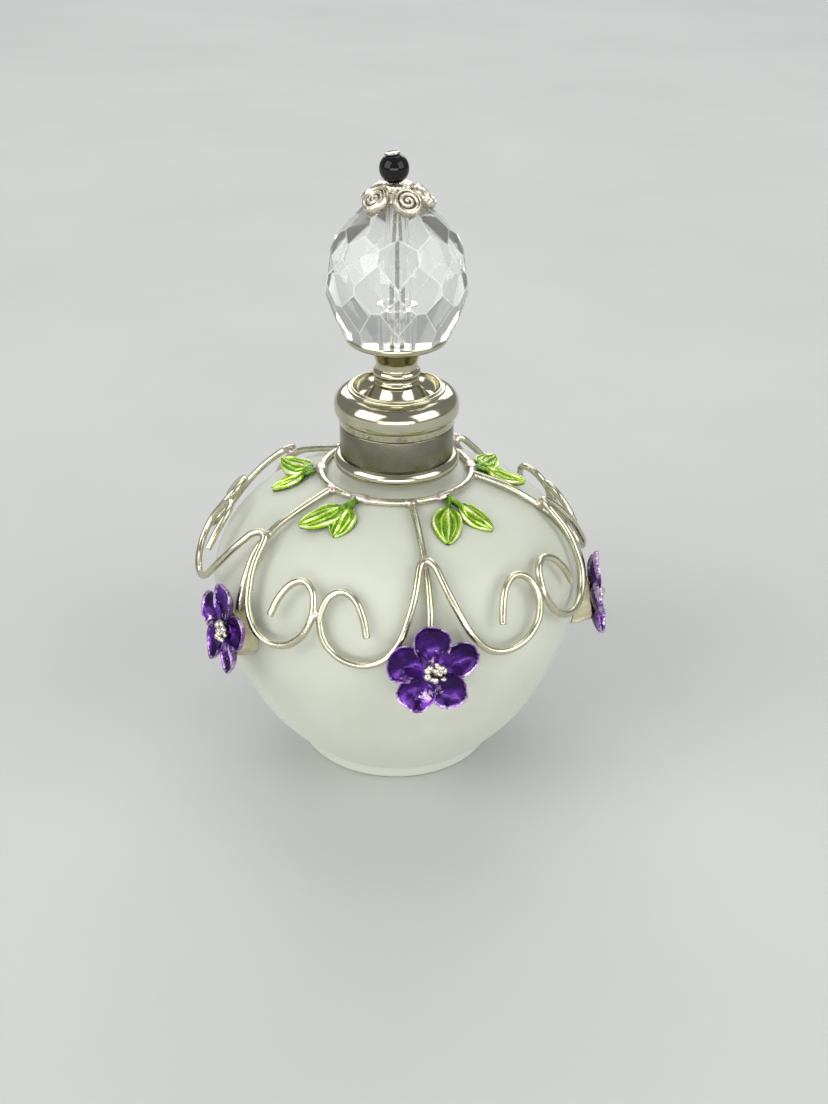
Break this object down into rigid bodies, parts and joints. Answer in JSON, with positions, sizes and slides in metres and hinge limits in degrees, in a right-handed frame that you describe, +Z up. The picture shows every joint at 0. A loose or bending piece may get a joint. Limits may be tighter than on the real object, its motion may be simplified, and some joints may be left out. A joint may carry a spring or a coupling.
{
  "type": "perfume bottle",
  "caption": "Round frosted glass perfume bottle in a scrolled wire cage with enamel flowers and leaves, closed by a lift-out dip-rod stopper with a faceted bead finial.",
  "frame": {"origin": "middle of the bottle's flat base, on the surface it stands on", "axes": "+Z up along the bottle's axis; the front of the bottle, with a flower a little to the right of the middle, faces -Y; +X to the right seen from the front"},
  "size_m": [0.0666, 0.0671, 0.0989],
  "materials": {
    "frosted_glass": "acid-etched, translucent",
    "nickel_collar": "brushed nickel plate with a polished flange",
    "polished_nickel": "polished nickel plate",
    "silver_wire": "nickel-silver wire, lightly tarnished",
    "antique_silver": "cast silver plate, dark in the grooves",
    "bright_silver": "bright cast silver",
    "purple_enamel": "glossy enamel on cast metal, bare metal rims",
    "green_enamel": "glossy enamel on cast metal, bare metal rims and veins",
    "glue": "clear glue, slightly yellowed",
    "crystal": "clear faceted acrylic",
    "clear_glass": "clear glass rod",
    "black_glass": "glossy black glass bead",
    "dark_pin": "polished pin",
    "soft_plastic": "natural soft polyethylene",
    "seal_rubber": "white seal"
  },
  "bodies": {
    "bottle": {"glass_bottle": "frosted_glass", "neck_collar": "nickel_collar", "cage_ring": "silver_wire", "spoke_wire_1": "silver_wire", "scroll_wire_1": "silver_wire", "flower_1": "purple_enamel", "stamens_1": "bright_silver", "glue_pad_1": "glue", "leaf_pair_1": "green_enamel", "spoke_wire_2": "silver_wire", "scroll_wire_2": "silver_wire", "flower_2": "purple_enamel", "stamens_2": "bright_silver", "glue_pad_2": "glue", "leaf_pair_2": "green_enamel", "spoke_wire_3": "silver_wire", "scroll_wire_3": "silver_wire", "flower_3": "purple_enamel", "stamens_3": "bright_silver", "glue_pad_3": "glue", "leaf_pair_3": "green_enamel", "spoke_wire_4": "silver_wire", "scroll_wire_4": "silver_wire", "flower_4": "purple_enamel", "stamens_4": "bright_silver", "glue_pad_4": "glue", "leaf_pair_4": "green_enamel", "spoke_wire_5": "silver_wire", "scroll_wire_5": "silver_wire", "flower_5": "purple_enamel", "stamens_5": "bright_silver", "glue_pad_5": "glue", "leaf_pair_5": "green_enamel"},
    "stopper": {"stopper_plug": "soft_plastic", "mouth_gasket": "seal_rubber", "dip_rod": "clear_glass"},
    "cap": {"cap_shell": "polished_nickel", "finial_stem": "polished_nickel", "crystal_bead": "crystal", "bead_cap": "antique_silver", "black_bead": "black_glass", "head_pin": "dark_pin", "pin_nut": "polished_nickel"}
  },
  "joints": [
    {"name": "stopper_lift", "type": "slide", "parent": "bottle", "child": "stopper", "axis": [0, 0, 1], "range_m": [0, 0.047]},
    {"name": "cap_turn", "type": "hinge", "parent": "stopper", "child": "cap", "pos_m": [0, 0, 0.0586], "axis": [0, 0, 1], "continuous": true}
  ]
}
